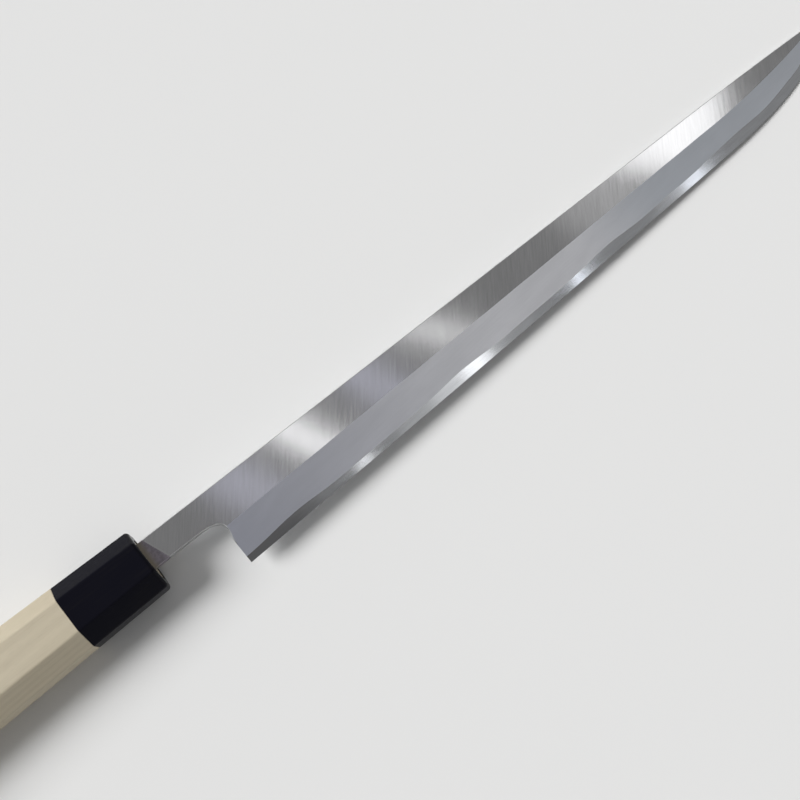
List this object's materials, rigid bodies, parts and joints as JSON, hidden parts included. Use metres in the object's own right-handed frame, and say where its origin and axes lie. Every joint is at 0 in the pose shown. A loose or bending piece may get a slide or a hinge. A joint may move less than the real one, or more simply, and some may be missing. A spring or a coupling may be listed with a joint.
{
  "type": "tuna knife",
  "caption": "Long single-bevel slicing knife: iron and hard-steel laminated blade with a hollow-ground back, tang set in an octagonal wooden handle with a black horn ferrule.",
  "frame": {"origin": "centre of the handle's flat butt end", "axes": "+X along the handle's axis towards the blade's tip, +Y towards the spine, +Z out of the bevelled face of the blade"},
  "size_m": [0.6833, 0.0474, 0.0308],
  "materials": {
    "soft_iron": "semi-bright flat with fine slanted polish, hazy matte bevel",
    "hard_steel": "bright polished",
    "black_horn": "polished horn",
    "pale_wood": "bare, fine sanded"
  },
  "bodies": {
    "root": {"blade_iron": "soft_iron", "blade_steel": "hard_steel", "horn_ferrule": "black_horn", "handle_body": "pale_wood"}
  },
  "joints": []
}
